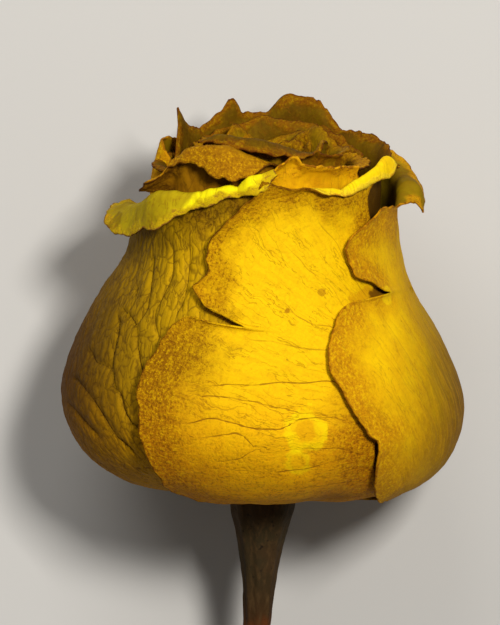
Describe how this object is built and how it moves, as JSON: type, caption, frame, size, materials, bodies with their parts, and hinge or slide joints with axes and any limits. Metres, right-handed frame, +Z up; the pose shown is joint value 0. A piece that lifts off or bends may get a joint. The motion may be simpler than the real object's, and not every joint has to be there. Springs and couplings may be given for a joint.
{
  "type": "dried rose",
  "caption": "Dried yellow rose lying on its side: one wilted bloom of nested, wrinkled petals with curled brown margins on a short bare stem.",
  "frame": {"origin": "middle of the bounding box's bottom, on the surface that the rose lies on", "axes": "+Y runs from the stem's cut end to the bloom's crown, +Z is up, out of the bloom's front petal"},
  "size_m": [0.0552, 0.1676, 0.0531],
  "materials": {
    "outer_petals": "dry, matte and wrinkled, golden yellow with ochre to brown margins",
    "inner_petals": "dry, matte and wrinkled, ochre and olive yellow with brown margins",
    "stem": "dry, matte, ribbed dark brown"
  },
  "bodies": {
    "root": {"front_petal": "outer_petals", "right_petal": "outer_petals", "back_right_petal": "outer_petals", "back_left_petal": "outer_petals", "left_petal": "outer_petals", "second_petal_1": "outer_petals", "second_petal_2": "outer_petals", "second_petal_3": "outer_petals", "second_petal_4": "outer_petals", "second_petal_5": "outer_petals", "third_petal_1": "inner_petals", "third_petal_2": "inner_petals", "third_petal_3": "inner_petals", "third_petal_4": "inner_petals", "third_petal_5": "inner_petals", "fourth_petal_1": "inner_petals", "fourth_petal_2": "inner_petals", "fourth_petal_3": "inner_petals", "fourth_petal_4": "inner_petals", "fourth_petal_5": "inner_petals", "fifth_petal_1": "inner_petals", "fifth_petal_2": "inner_petals", "fifth_petal_3": "inner_petals", "fifth_petal_4": "inner_petals", "heart_petal_1": "inner_petals", "heart_petal_2": "inner_petals", "heart_petal_3": "inner_petals", "stem": "stem"}
  },
  "joints": []
}
